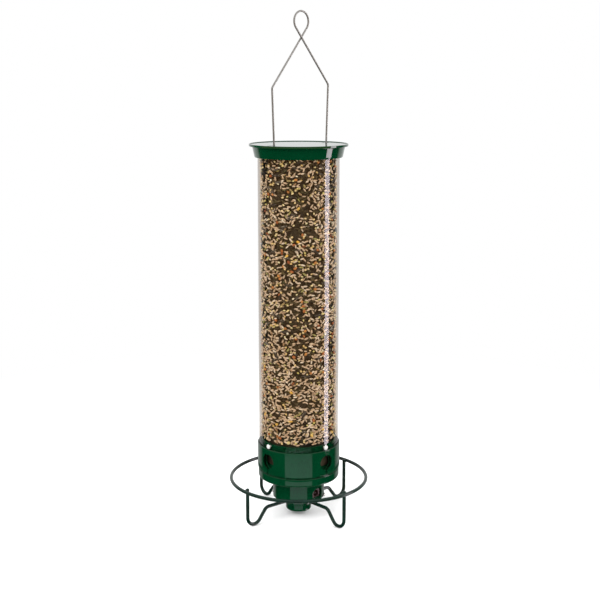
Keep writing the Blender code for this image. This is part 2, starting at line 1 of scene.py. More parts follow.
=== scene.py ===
"""Looks of a hanging tube bird feeder: fine meshes, mixed seed, materials, lights and camera.

The frame: metres, +Z up, the feet stand on z = 0, and the seed tube's axis is the Z axis.
A turn is an angle about that axis in degrees, from -Y towards +X.
"""
import json
import math

import bmesh
import bpy
import numpy as np
from mathutils import Matrix, Vector


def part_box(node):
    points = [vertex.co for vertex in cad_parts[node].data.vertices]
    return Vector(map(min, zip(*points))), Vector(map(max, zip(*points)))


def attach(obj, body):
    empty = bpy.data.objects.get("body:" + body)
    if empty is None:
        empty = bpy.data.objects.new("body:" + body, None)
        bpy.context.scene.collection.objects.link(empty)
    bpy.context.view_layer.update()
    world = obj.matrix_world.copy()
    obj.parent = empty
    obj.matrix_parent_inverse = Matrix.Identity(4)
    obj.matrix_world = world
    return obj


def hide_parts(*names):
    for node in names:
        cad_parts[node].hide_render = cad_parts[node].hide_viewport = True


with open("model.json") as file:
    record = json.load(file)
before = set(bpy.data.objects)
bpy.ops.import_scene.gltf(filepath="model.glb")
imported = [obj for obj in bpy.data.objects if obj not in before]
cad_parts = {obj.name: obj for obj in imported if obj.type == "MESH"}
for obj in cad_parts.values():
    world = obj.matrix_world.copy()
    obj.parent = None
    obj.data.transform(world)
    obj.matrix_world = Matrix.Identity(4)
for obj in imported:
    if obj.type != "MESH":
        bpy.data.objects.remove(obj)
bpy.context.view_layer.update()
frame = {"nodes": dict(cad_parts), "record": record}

MM = 0.001
GAP = 0.3 * MM
FINE = 192  # sides of the large round pieces
MEDIUM = 64  # sides of a cutter
QUARTERS = (0, 90, 180, 270)
HOLD = 0.08 * MM  # how far past a rounded edge the flat beside it begins
PAST = 2 * MM  # how far a cutter runs past the wall it cuts
CREASE = 35  # degrees between faces from which an edge shades sharp

# Camera
CAMERA_TURN = 47.95
CAMERA_DISTANCE = 1.0944
CAMERA_HEIGHT = 0.4548
CAMERA_PITCH = 10.45  # degrees downwards
LENS = 65.77
SHIFT = (0.0023, -0.0400)

# Hanger wire: two hooks, two strands and the loop; its points are (y, z)
HOOK_HEIGHT = 0.3795
HOOK_END = 0.0417
HOOK_BEND = 0.0018
LOOP_CENTRE = Vector((0.0035, 0.5048))
LOOP_RADIUS = 0.0103
LOOP_LEAN = 0.0016
SHOULDER_BEND = 0.004
WIRE_FEET = (-0.0323, 0.0377)
WIRE_SHOULDERS = (Vector((-0.0345, 0.4415)), Vector((0.0399, 0.4445)))
WIRE_RADIUS = 0.95 * MM

# Openings and fasteners in the base
PORT_RADIUS = 0.0080
PORT_HEIGHT = 0.0655
PORT_SLOT = 0.0018
RIVET_HEIGHT = 0.0812
RIVET_HEAD = 0.0025
RIVET_RISE = 0.0013
RIVET_SHANK = 0.0013
JACK_TURN = 95.5
JACK_HEIGHT = 0.0268
JACK_HOLE = 0.0059
JACK_STRETCH = 1.25  # the hole's width over its height
SCREW_TURNS = (126, 306)
SCREW_HEIGHT = 0.0210
SKIRT_INNER = 0.0374  # inside of the baffle's skirt

# Perch
LEG_RUN = 0.0160
LEG_SHOULDER = 0.0430
LEG_SHOULDER_BEND = 0.007
LEG_FOOT_BEND = 0.0084
LEG_TURNS = (-3, 91.5, 180, 266)


def outer_radius(node):
    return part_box(node)[1].x


def heights(node):
    low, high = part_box(node)
    return low.z, high.z


def extent(node):
    """A round node's lowest and highest points and its radius."""
    return *heights(node), outer_radius(node)


TUBE_LOW, TUBE_HIGH, TUBE_OUTER = extent("seed_tube")
TUBE_WALL = 1.8 * MM
TUBE_INNER = TUBE_OUTER - TUBE_WALL
SEED_HIGH = heights("seed_fill")[1]
SEED_WALL = TUBE_INNER - GAP
RING_LOW, RING_HIGH, RING_OUTER = extent("perch_ring")
PERCH_WIRE = (RING_HIGH - RING_LOW) / 2
RING_RADIUS = RING_OUTER - PERCH_WIRE
RING_HEIGHT = (RING_LOW + RING_HIGH) / 2
LEG_TOP = heights("perch_leg_1")[1]
LEG_UPRIGHT = RING_RADIUS - 2 * PERCH_WIRE - GAP


# ---------------- shapes


def out(turn, radius, height=0.0):
    """The point at a turn about the tube's axis, a radius from it and a height."""
    angle = math.radians(turn)
    return Vector((radius * math.sin(angle), -radius * math.cos(angle), height))


def pointing(start, end):
    """A matrix that takes the Z axis to the line from start towards end."""
    return Matrix.Translation(start) @ (end - start).to_track_quat("Z", "Y").to_matrix().to_4x4()


def linked(name, data):
    thing = bpy.data.objects.new(name, data)
    bpy.context.collection.objects.link(thing)
    return thing


def smooth(mesh):
    """Shades a mesh smooth, but for its creases."""
    mesh.shade_smooth()
    mesh.set_sharp_from_angle(angle=math.radians(CREASE))


def made(name, vertices, faces):
    mesh = bpy.data.meshes.new(name)
    mesh.from_pydata([tuple(v) for v in vertices], [], faces)
    mesh.update()
    mesh.shade_smooth()
    return linked(name, mesh)


def strip(lower, upper, sides):
    """The faces between two rings of points, whose first points have the given numbers."""
    ring = [(k, (k + 1) % sides) for k in range(sides)]
    return [(lower + k, lower + m, upper + m, upper + k) for k, m in ring]


def softened(outline):
    """The outline with each corner's bend radius, its third number, turned into an arc.

    A point is added just past each end of an arc, so that the long faces beside it shade flat.
    """
    path = []
    count = len(outline)
    steps = 4  # of each arc
    for i, (r, z, bend) in enumerate(outline):
        corner = Vector((r, z))
        before = Vector(outline[i - 1][:2])
        after = Vector(outline[(i + 1) % count][:2])
        if bend == 0:
            path.append(corner)
            continue
        into = (corner - before).normalized()
        away = (after - corner).normalized()
        turn = into.angle_signed(away)
        cut = bend * math.tan(abs(turn) / 2)
        cut = min(cut, 0.45 * (corner - before).length, 0.45 * (after - corner).length)
        start = corner - into * cut
        end = corner + away * cut
        if (corner - before).length > 2 * cut + 4 * HOLD:
            path.append(start - into * HOLD)
        for k in range(steps + 1):
            t = k / steps
            path.append(start * (1 - t) ** 2 + corner * (2 * t * (1 - t)) + end * t**2)
        if (after - corner).length > 2 * cut + 4 * HOLD:
            path.append(end + away * HOLD)
    return [(p.x, p.y) for p in path]


def turned(name, outline, sides=FINE, place=None, soft=True):
    """A solid turned about Z, from an outline that starts and ends on the axis or goes round a ring."""
    points = softened(outline) if soft else [p[:2] for p in outline]
    on_axis = points[0][0] == 0 and points[-1][0] == 0
    rim = points[1:-1] if on_axis else points
    vertices = []
    for r, z in rim:
        for i in range(sides):
            angle = math.tau * i / sides
            vertices.append((r * math.cos(angle), r * math.sin(angle), z))
    faces = []
    rows = len(rim) - 1 if on_axis else len(rim)
    for row in range(rows):
        faces += strip(row * sides, (row + 1) % len(rim) * sides, sides)
    if on_axis:
        bottom, top = len(vertices), len(vertices) + 1
        vertices += [(0, 0, points[0][1]), (0, 0, points[-1][1])]
        last = (len(rim) - 1) * sides
        for i in range(sides):
            j = (i + 1) % sides
            faces.append((bottom, j, i))
            faces.append((top, last + i, last + j))
    thing = made(name, vertices, faces)
    smooth(thing.data)
    if place:
        thing.data.transform(place)
    facing_out(thing)
    return thing


def facing_out(thing):
    """Turns every face of a closed shape outwards."""
    bm = bmesh.new()
    bm.from_mesh(thing.data)
    bmesh.ops.recalc_face_normals(bm, faces=bm.faces)
    bm.to_mesh(thing.data)
    bm.free()


def rod(start, end, radius, sides=MEDIUM):
    """A round cutter from one point to another."""
    length = (end - start).length
    outline = [(0, 0, 0), (radius, 0, 0), (radius, length, 0), (0, length, 0)]
    return turned("cutter", outline, sides, pointing(start, end), soft=False)


def block(low, high, turn=0):
    """A box between two corners, turned about Z."""
    low, high = Vector(low), Vector(high)
    bm = bmesh.new()
    bmesh.ops.create_cube(bm, size=1)
    matrix = Matrix.Rotation(math.radians(turn), 4, "Z") @ Matrix.Translation((low + high) / 2)
    bmesh.ops.transform(bm, matrix=matrix @ Matrix.Diagonal((*(high - low), 1)), verts=bm.verts)
    mesh = bpy.data.meshes.new("cutter")
    bm.to_mesh(mesh)
    bm.free()
    return linked("cutter", mesh)


def carve(target, cutters, lip=0.0):
    """Cuts the cutters out of the target, rounds the cut edges by lip, and removes the cutters."""
    for cutter in cutters:
        step = target.modifiers.new("cut", "BOOLEAN")
        step.object = cutter
        step.solver = "EXACT"
    bpy.context.view_layer.update()
    shape = target.evaluated_get(bpy.context.evaluated_depsgraph_get())
    mesh = bpy.data.meshes.new_from_object(shape)
    target.modifiers.clear()
    bm = bmesh.new()
    bm.from_mesh(mesh)
    bmesh.ops.remove_doubles(bm, verts=bm.verts, dist=0.05 * MM)
    if lip:
        inner = [e for e in bm.edges if len(e.link_faces) == 2]
        edges = [e for e in inner if e.calc_face_angle() > math.radians(50)]
        bmesh.ops.bevel(
            bm, geom=edges, offset=lip, segments=2, profile=0.5, affect="EDGES", clamp_overlap=True
        )
    bm.to_mesh(mesh)
    bm.free()
    smooth(mesh)
    mesh.name = target.name
    target.data = mesh
    for cutter in cutters:
        bpy.data.objects.remove(cutter, do_unlink=True)


def rounded(corners, bends, steps):
    """A path through corners whose inner ones are rounded to the given bend radii."""
    path = [corners[0]]
    for before, corner, after, bend in zip(corners, corners[1:], corners[2:], bends):
        into = (corner - before).normalized()
        away = (after - corner).normalized()
        turn = into.angle(away)
        start = corner - into * (bend * math.tan(turn / 2))
        centre = corner + (away - into).normalized() * (bend / math.cos(turn / 2))
        axis = into.cross(away).normalized()
        for i in range(steps + 1):
            path.append(centre + Matrix.Rotation(turn * i / steps, 3, axis) @ (start - centre))
    path.append(corners[-1])
    return path


def resampled(path, spacing):
    """The same line with a point about every spacing, so that it bends evenly."""
    even = []
    for a, b in zip(path, path[1:]):
        parts = max(1, round((b - a).length / spacing))
        even += [a.lerp(b, i / parts) for i in range(parts)]
    return even + [path[-1]]


def ringed(name, vertices, sides, closed=False):
    """A smooth skin over rings of points; the last ring joins the first, or both have a flat lid."""
    total = len(vertices) // sides
    faces = []
    for i in range(total if closed else total - 1):
        faces += strip(i * sides, (i + 1) % total * sides, sides)
    if not closed:
        faces.append(tuple(range(sides))[::-1])
        faces.append(tuple(range((total - 1) * sides, total * sides)))
    thing = made(name, vertices, faces)
    facing_out(thing)
    return thing


def swept(name, path, radius, sides=20, closed=False, dome=0.6):
    """A round bar along a path, with domed ends unless it is closed."""
    count = len(path)
    side = None
    rings = []
    for i, point in enumerate(path):
        before = path[i - 1] if i or closed else path[0]
        after = path[(i + 1) % count] if i < count - 1 or closed else path[-1]
        along = (after - before).normalized()
        if side is None:
            side = along.orthogonal().normalized()
        side = (side - along * side.dot(along)).normalized()
        rings.append((point, along, side, radius))
    if not closed:
        for first, sign in ((True, -1), (False, 1)):
            point, along, side, _ = rings[0] if first else rings[-1]
            for k in range(1, 5):
                swing = math.radians(21 * k)
                reach = point + along * (sign * dome * radius * math.sin(swing))
                ring = (reach, along, side, radius * math.cos(swing))
                rings.insert(0, ring) if first else rings.append(ring)
    vertices = []
    for point, along, side, r in rings:
        up = along.cross(side)
        for k in range(sides):
            angle = math.tau * k / sides
            vertices.append(point + side * (r * math.cos(angle)) + up * (r * math.sin(angle)))
    return ringed(name, vertices, sides, closed)


# ---------------- materials


def node(tree, kind, inputs=(), **settings):
    """A shader node with its settings; an input is a value or another node's socket."""
    new = tree.nodes.new("ShaderNode" + kind)
    for key, value in settings.items():
        setattr(new, key, value)
    for key, value in dict(inputs).items():
        if isinstance(value, bpy.types.NodeSocket):
            tree.links.new(value, new.inputs[key])
        else:
            new.inputs[key].default_value = value
    return new


def ramp(factor, stops):
    """A colour ramp; each stop is a position and a linear colour or a grey."""
    new = node(factor.id_data, "ValToRGB", {"Fac": factor})
    elements = new.color_ramp.elements
    for i, (position, colour) in enumerate(stops):
        element = elements[i] if i < 2 else elements.new(position)
        element.position = position
        colour = (colour,) * 3 if isinstance(colour, (int, float)) else colour
        element.color = (*colour, 1)
    return new.outputs["Color"]


def mixed(factor, first, second, blend="MIX"):
    """The second colour over the first, by a factor."""
    tree = first.id_data
    inputs = {"Factor": factor, "A": first, "B": second}
    return node(tree, "Mix", inputs, data_type="RGBA", blend_type=blend).outputs["Result"]


def material(name, roughness, metallic=0.0, ior=1.5):
    """A material with one Principled shader, its tree, shader and object coordinates."""
    new = bpy.data.materials.new(name)
    new.use_nodes = True
    tree = new.node_tree
    shader = tree.nodes["Principled BSDF"]
    shader.inputs["Roughness"].default_value = roughness
    shader.inputs["Metallic"].default_value = metallic
    shader.inputs["IOR"].default_value = ior
    place = node(tree, "TexCoord").outputs["Object"]
    return new, tree, shader, place


def feed(shader, name, socket):
    shader.id_data.links.new(socket, shader.inputs[name])


def shown(factor, first, second):
    """Puts a mix of two shaders on the surface."""
    tree = factor.id_data
    both = node(tree, "MixShader", {0: factor, 1: first.outputs[0], 2: second.outputs[0]})
    feed(tree.nodes["Material Output"], "Surface", both.outputs[0])


def maths(tree, operation, *values):
    return node(tree, "Math", dict(enumerate(values)), operation=operation).outputs[0]


def rising(value, low, high, **settings):
    """A factor that goes from 0 to 1 as the value goes from low to high."""
    inputs = {"Value": value, "From Min": low, "From Max": high}
    return node(value.id_data, "MapRange", inputs, **settings).outputs[0]


def noise(place, scale, detail=3.0):
    inputs = {"Vector": place, "Scale": scale, "Detail": detail}
    return node(place.id_data, "TexNoise", inputs).outputs["Fac"]


def roughen(shader, factor, low, high, start=0.3, end=0.7):
    """Roughness that goes from low to high as the factor goes from start to end."""
    feed(shader, "Roughness", ramp(factor, ((start, low), (end, high))))


def bump(shader, height, strength, distance):
    inputs = {"Height": height, "Strength": strength, "Distance": distance}
    raised = node(shader.id_data, "Bump", inputs)
    feed(shader, "Normal", raised.outputs["Normal"])


def stretched(place, scale):
    """Coordinates stretched along the axes, for brushed and drawn surfaces."""
    return node(place.id_data, "Mapping", {"Vector": place, "Scale": scale}).outputs["Vector"]


def plain(name, dark, light, rough, metallic=0.0, grain=600, relief=0.15, stretch=(1, 1, 1), ior=1.5):
    """A surface whose colour and roughness wander between two values, over a fine relief."""
    new, _, shader, place = material(name, rough[0], metallic, ior)
    place = stretched(place, stretch)
    cloud = noise(place, grain / 12)
    fine = noise(place, grain)
    feed(shader, "Base Color", ramp(cloud, ((0.3, dark), (0.7, light))))
    roughen(shader, fine, *rough)
    bump(shader, fine, relief, 0.1 * MM)
    return new


def gloss_green():
    """Moulded plastic: deep green with a faint orange peel, fine scratches and a little dust."""
    new, tree, shader, place = material("green_gloss", 0.08)
    cloud = noise(place, 40)
    base = ramp(cloud, ((0.3, (0.0002, 0.026, 0.0085)), (0.7, (0.0004, 0.033, 0.0115))))
    specks = node(tree, "TexVoronoi", {"Vector": place, "Scale": 420, "Randomness": 1.0})
    dust = ramp(specks.outputs["Distance"], ((0.02, (0.02, 0.04, 0.03)), (0.06, (0, 0, 0))))
    feed(shader, "Base Color", mixed(1.0, base, dust, "ADD"))
    scratches = noise(stretched(place, (1, 1, 0.06)), 1600, 2)
    roughen(shader, scratches, 0.04, 0.09, 0.35, 0.75)
    bump(shader, noise(place, 260, 2), 0.05, 0.1 * MM)
    return new


def clear_wall():
    """Clear polycarbonate: what is behind shows, under a reflection that grows towards the edges."""
    ior = 1.5
    new, tree, shader, place = material("clear_tube", 0.03, 1.0, ior)
    shader.inputs["Base Color"].default_value = (1, 1, 1, 1)
    scuffs = noise(stretched(place, (1, 1, 0.25)), 900, 4)
    roughen(shader, scuffs, 0.02, 0.06, 0.45, 0.8)
    bump(shader, noise(place, 22, 1), 0.02, 0.4 * MM)
    facing = node(tree, "Fresnel", {"IOR": ior}).outputs["Fac"]
    depth = ramp(facing, ((0.11, (0.985, 0.98, 0.97)), (0.26, (0.58, 0.53, 0.48))))
    see = node(tree, "BsdfTransparent", {"Color": depth})
    back = node(tree, "NewGeometry").outputs["Backfacing"]
    shown(maths(tree, "MULTIPLY", facing, maths(tree, "SUBTRACT", 1.0, back)), see, shader)
    return new


def clear_inner():
    """The inside of the same wall: clear, with a little seed dust on it."""
    new, tree, shader, place = material("clear_tube_inner", 0.1)
    see = node(tree, "BsdfTransparent", {"Color": (0.985, 0.99, 0.985, 1)})
    shader.inputs["Base Color"].default_value = (0.5, 0.42, 0.3, 1)
    shown(ramp(noise(place, 120, 5), ((0.5, 0.0), (0.9, 0.03))), see, shader)
    return new


def husk(name, stops, rough=(0.35, 0.6), streaks=0.35):
    """Seed: each grain has its own colour, with darker streaks along it and a rough skin."""
    new, tree, shader, place = material(name, rough[0])
    own = node(tree, "NewGeometry").outputs["Random Per Island"]
    base = ramp(own, stops)
    local = node(tree, "Attribute", attribute_name="grain").outputs["Vector"]
    lines = noise(stretched(local, (0.8, 5, 5)), 2.2, 2)
    blotch = noise(place, 700, 2)
    shade = ramp(lines, ((0.35, 1 - streaks), (0.62, 1.0)))
    patch = ramp(blotch, ((0.3, 0.78), (0.6, 1.0)))
    skin = mixed(1.0, mixed(1.0, base, shade, "MULTIPLY"), patch, "MULTIPLY")
    feed(shader, "Base Color", skin)
    roughen(shader, blotch, *rough)
    bump(shader, lines, 0.3, 0.1 * MM)
    return new


def striped_husk():
    """Sunflower hulls: near black, with pale stripes that run along the seed."""
    new, tree, shader, place = material("seed_sunflower", 0.4)
    own = node(tree, "NewGeometry").outputs["Random Per Island"]
    local = node(tree, "Attribute", attribute_name="grain").outputs["Vector"]
    parts = node(tree, "SeparateXYZ", {"Vector": local})
    wander = noise(stretched(local, (1.0, 0.6, 0.6)), 1.6, 2)
    across = maths(tree, "ADD", parts.outputs["Y"], wander)
    wave = maths(tree, "SINE", maths(tree, "MULTIPLY", across, 9.0))
    stripe = ramp(wave, ((0.55, 0.0), (0.9, 1.0)))
    darks = ((0.0, (0.012, 0.010, 0.008)), (0.6, (0.035, 0.028, 0.020)), (1.0, (0.075, 0.060, 0.045)))
    pales = ((0.0, (0.06, 0.052, 0.042)), (1.0, (0.26, 0.22, 0.16)))
    feed(shader, "Base Color", mixed(stripe, ramp(own, darks), ramp(own, pales)))
    fine = noise(place, 900, 2)
    roughen(shader, fine, 0.35, 0.55)
    bump(shader, wave, 0.2, 0.1 * MM)
    return new


# How the colours of each kind of seed are shared out among its grains
CREAM = (
    (0.00, (0.58, 0.38, 0.22)),
    (0.25, (0.74, 0.54, 0.36)),
    (0.50, (0.62, 0.42, 0.26)),
    (0.75, (0.88, 0.72, 0.54)),
    (0.92, (0.46, 0.26, 0.13)),
    (1.00, (0.36, 0.34, 0.10)),
)
MILLET = (
    (0.00, (0.70, 0.46, 0.16)),
    (0.50, (0.85, 0.66, 0.34)),
    (0.80, (0.60, 0.50, 0.14)),
    (1.00, (0.90, 0.80, 0.60)),
)
MILO = (
    (0.00, (0.30, 0.07, 0.02)),
    (0.50, (0.50, 0.16, 0.04)),
    (0.80, (0.62, 0.26, 0.06)),
    (1.00, (0.20, 0.05, 0.02)),
)
CORN = (
    (0.00, (0.80, 0.42, 0.05)),
    (0.60, (0.85, 0.55, 0.14)),
    (1.00, (0.75, 0.62, 0.30)),
)
BROWN = (
    (0.00, (0.030, 0.022, 0.010)),
    (0.35, (0.070, 0.052, 0.022)),
    (0.65, (0.110, 0.078, 0.032)),
    (0.90, (0.060, 0.060, 0.022)),
    (1.00, (0.200, 0.130, 0.050)),
)
# Painted shade: near-black colours for the seeds just inside the ports, in place of the shade in those
# openings
PAINTED_PORT_SHADE = (
    (0.00, (0.006, 0.004, 0.002)),
    (0.60, (0.016, 0.010, 0.005)),
    (0.85, (0.040, 0.010, 0.006)),
    (1.00, (0.070, 0.045, 0.022)),
)

HUSKS = {  # colours, roughness, streaks
    "seed_cream": (CREAM,),
    "seed_millet": (MILLET, (0.25, 0.45), 0.15),
    "seed_milo": (MILO, (0.35, 0.5), 0.25),
    "seed_corn": (CORN, (0.4, 0.6), 0.25),
    "seed_husk": (BROWN, (0.5, 0.7), 0.4),
    "seed_painted_shade": (PAINTED_PORT_SHADE, (0.5, 0.7), 0.4),
}
BLACK = (0.012, 0.012, 0.012)
PLAINS = {  # dark, light, roughness, metallic, grain, relief, stretch, IOR
    "perch_coat": (
        (0.0004, 0.010, 0.006), (0.0010, 0.016, 0.010), (0.14, 0.24), 0, 1500, 0.2, (1, 1, 1), 1.4
    ),
    "bright_steel": ((0.55, 0.55, 0.53), (0.72, 0.71, 0.69), (0.16, 0.32), 1.0, 1200, 0.08, (1, 1, 0.2)),
    # rivet heads: a pale, mostly matt colour that is painted reflection of the white surroundings the steel
    # domes mirror, over a little real metal
    "rivet_steel_painted_reflection": ((0.62, 0.62, 0.60), (0.74, 0.74, 0.72), (0.22, 0.32), 0.25, 900, 0.04),
    "wire_steel": ((0.20, 0.195, 0.18), (0.30, 0.29, 0.27), (0.40, 0.50), 0.7, 120, 0.01, (1, 1, 0.2)),
    "jack_socket": ((0.020, 0.006, 0.005), (0.045, 0.012, 0.010), (0.35, 0.50)),
    "black_plastic": (BLACK, (0.022, 0.022, 0.022), (0.38, 0.55)),
    "white_nylon": ((0.68, 0.67, 0.60), (0.80, 0.79, 0.74), (0.35, 0.50)),
    "brass": ((0.52, 0.36, 0.12), (0.70, 0.52, 0.20), (0.20, 0.38), 1.0, 900, 0.1),
    "cell_wrap": ((0.04, 0.20, 0.09), (0.07, 0.27, 0.13), (0.25, 0.40), 0, 300, 0.1),
    "board": ((0.010, 0.14, 0.05), (0.025, 0.22, 0.09), (0.35, 0.55), 0, 700, 0.3),
    "lead_red": ((0.40, 0.012, 0.012), (0.58, 0.025, 0.02), (0.40, 0.55), 0, 800, 0.1),
    "lead_black": (BLACK, (0.025, 0.025, 0.025), (0.40, 0.55), 0, 800, 0.1),
    # seed_core: near-black painted shade for the deep seed behind the layers the wall shows
    "seed_core": ((0.010, 0.007, 0.003), (0.045, 0.032, 0.014), (0.7, 0.9), 0, 500, 0.8),
}
PAINTS = {
    "green_gloss": gloss_green(),
    "clear_tube": clear_wall(),
    "clear_tube_inner": clear_inner(),
    "seed_sunflower": striped_husk(),
}
PAINTS.update({name: husk(name, *values) for name, values in HUSKS.items()})
PAINTS.update({name: plain(name, *values) for name, values in PLAINS.items()})
# the seed fill takes the seed core's painted shade
OWN_PAINTS = {"seed_fill": "seed_core", "charging_jack": "jack_socket"}


def paint_cad_nodes():
    """Gives every carried-over CAD node the procedural finish of its slot, or its own."""
    for part in frame["record"]["subparts"]:
        finish = OWN_PAINTS.get(part["node"], part["material_slot"])
        mesh = frame["nodes"][part["node"]].data
        mesh.materials.clear()
        mesh.materials.append(PAINTS[finish])
        smooth(mesh)


def piece(thing, body, slot, nodes=(), finish=None):
    """Parents a piece to its body, paints it with its finish or else its slot's unless it has paint, and
    hides the CAD nodes it stands for.
    """
    if not thing.data.materials:
        thing.data.materials.append(PAINTS[finish or slot])
    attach(thing, body)
    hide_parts(*nodes)
    return thing


# ---------------- feeder's hard pieces


def drills(turns, height, inner, outer, radius, sides):
    """Round cutters through a wall at a height, one for each turn."""
    return [rod(out(t, inner, height), out(t, outer, height), radius, sides) for t in turns]


def port_cutters(inner, outer):
    return drills(QUARTERS, PORT_HEIGHT, inner, outer, PORT_RADIUS, 96)


def rivet_cutters(inner, outer):
    return drills(QUARTERS, RIVET_HEIGHT, inner, outer, RIVET_SHANK + GAP, 32)


def build_tube():
    """The clear tube, with one paint outside and one on its inner wall."""
    edge = 0.4 * MM
    outline = [
        (TUBE_OUTER, TUBE_LOW, edge),
        (TUBE_OUTER, TUBE_HIGH, edge),
        (TUBE_INNER, TUBE_HIGH, edge),
        (TUBE_INNER, TUBE_LOW, edge),
    ]
    tube = turned("clear_tube", outline)
    reach = (TUBE_INNER - PAST, TUBE_OUTER + PAST)
    hooks = drills((0, 180), HOOK_HEIGHT, *reach, WIRE_RADIUS + GAP, 32)
    carve(tube, port_cutters(*reach) + rivet_cutters(*reach) + hooks)
    tube.data.materials.clear()
    tube.data.materials.append(PAINTS["clear_tube"])
    tube.data.materials.append(PAINTS["clear_tube_inner"])
    limit = (TUBE_INNER + TUBE_OUTER) / 2
    for face in tube.data.polygons:
        centre = face.center
        towards_axis = face.normal.x * centre.x + face.normal.y * centre.y < 0
        face.material_index = int(towards_axis and math.hypot(centre.x, centre.y) < limit)
    piece(tube, "feeder", "clear_tube", ["seed_tube"])


def build_sleeve():
    """The glossy outer sleeve, with a rounded top rim and a narrow slot below each port."""
    low, high, outer = extent("port_sleeve")
    inner = outer - 1.3 * MM
    outline = [
        (outer, low, 0.3 * MM),
        (outer, high, 0.4 * MM),
        (inner, high, 0.2 * MM),
        (inner, low, 0.2 * MM),
    ]
    sleeve = turned("port_sleeve_fine", outline)
    slots = []
    for turn in QUARTERS:
        corner = (PORT_SLOT / 2, -inner + 1 * MM, PORT_HEIGHT - PORT_RADIUS + 1 * MM)
        slots.append(block((-PORT_SLOT / 2, -outer - PAST, low - 1 * MM), corner, turn))
    carve(sleeve, port_cutters(inner - PAST, outer + PAST) + slots)
    piece(sleeve, "feeder", "green_gloss", ["port_sleeve"])


def build_baffle():
    """The inner moulding: a skirt against the tube, and a cone that runs the seed out to the ports."""
    low, high, outer = extent("seed_baffle")
    skirt_high = 0.0840
    foot = 0.0368  # where the cone's underside meets the skirt
    bore, seat, stem = 0.0075, 0.0093, 0.0108  # the battery column's opening, its step and its rim
    stem_low, step = 0.0790, 0.0817
    cone_high, cone_low = 0.0830, 0.0555
    edge = 0.3 * MM
    outline = [
        (outer, skirt_high, edge),
        (outer, low, edge),
        (foot, low, edge),
        (stem - 0.3 * MM, stem_low + 1 * MM, 1 * MM),
        (stem - 0.8 * MM, stem_low, edge),
        (bore, stem_low, edge),
        (bore, step, 0),
        (seat, step, 0),
        (seat, high, edge),
        (stem, high, edge),
        (stem + 0.4 * MM, cone_high, 1 * MM),
        (SKIRT_INNER, cone_low, 1 * MM),
        (SKIRT_INNER, skirt_high, edge),
    ]
    baffle = turned("seed_baffle_fine", outline)
    outside = 0.0450
    carve(baffle, port_cutters(0.0360, outside) + rivet_cutters(0.0350, outside))
    piece(baffle, "feeder", "green_gloss", ["seed_baffle"])


def build_band():
    """The lower band: a shallow cup with a rolled foot edge, drain holes and a groove under the sleeve."""
    low, high, outer = extent("base_band")
    hole = 0.0035  # for the perch's shaft
    shoulder = 0.0507
    groove, inner = 0.0406, 0.0372
    floor = 0.0443
    edge = 0.2 * MM
    outline = [
        (hole, low, edge),
        (outer, low, 1.8 * MM),
        (outer, shoulder, 0.4 * MM),
        (groove, shoulder, edge),
        (groove, high, edge),
        (inner, high, edge),
        (inner, floor, 0.8 * MM),
        (hole, floor, edge),
    ]
    band = turned("base_band_fine", outline)
    shaft_hole = (Vector((0, 0.0152, 0)), 4.5 * MM)
    lead_hole = (Vector((-0.0134, -0.0134, 0)), 3.6 * MM)
    holes = [shaft_hole, lead_hole, *((out(turn + 45, 0.0330), 1.5 * MM) for turn in QUARTERS)]
    bottom, top = Vector((0, 0, low - PAST)), Vector((0, 0, floor + PAST))
    carve(band, [rod(place + bottom, place + top, radius, 32) for place, radius in holes], lip=edge)
    piece(band, "feeder", "green_gloss", ["base_band"])


def build_housing():
    """The motor's round shell, with an oval opening for the charging jack and two screw holes."""
    low, high, outer = extent("motor_housing")
    inner = outer - 1.6 * MM
    outline = [
        (inner, high, 0.2 * MM),
        (inner, low, 0.3 * MM),
        (outer, low, 1.0 * MM),
        (outer, high, 0.2 * MM),
    ]
    shell = turned("motor_housing_fine", outline)
    reach = (inner - PAST, outer + 3 * MM)
    start, end = (out(JACK_TURN, radius, JACK_HEIGHT) for radius in reach)
    jack = rod(start, end, JACK_HOLE)
    face = pointing(start, end)
    jack.data.transform(face @ Matrix.Diagonal((JACK_STRETCH, 1, 1, 1)) @ face.inverted())
    carve(shell, [jack, *drills(SCREW_TURNS, SCREW_HEIGHT, *reach, 1 * MM, 24)])
    piece(shell, "feeder", "green_gloss", ["motor_housing"])


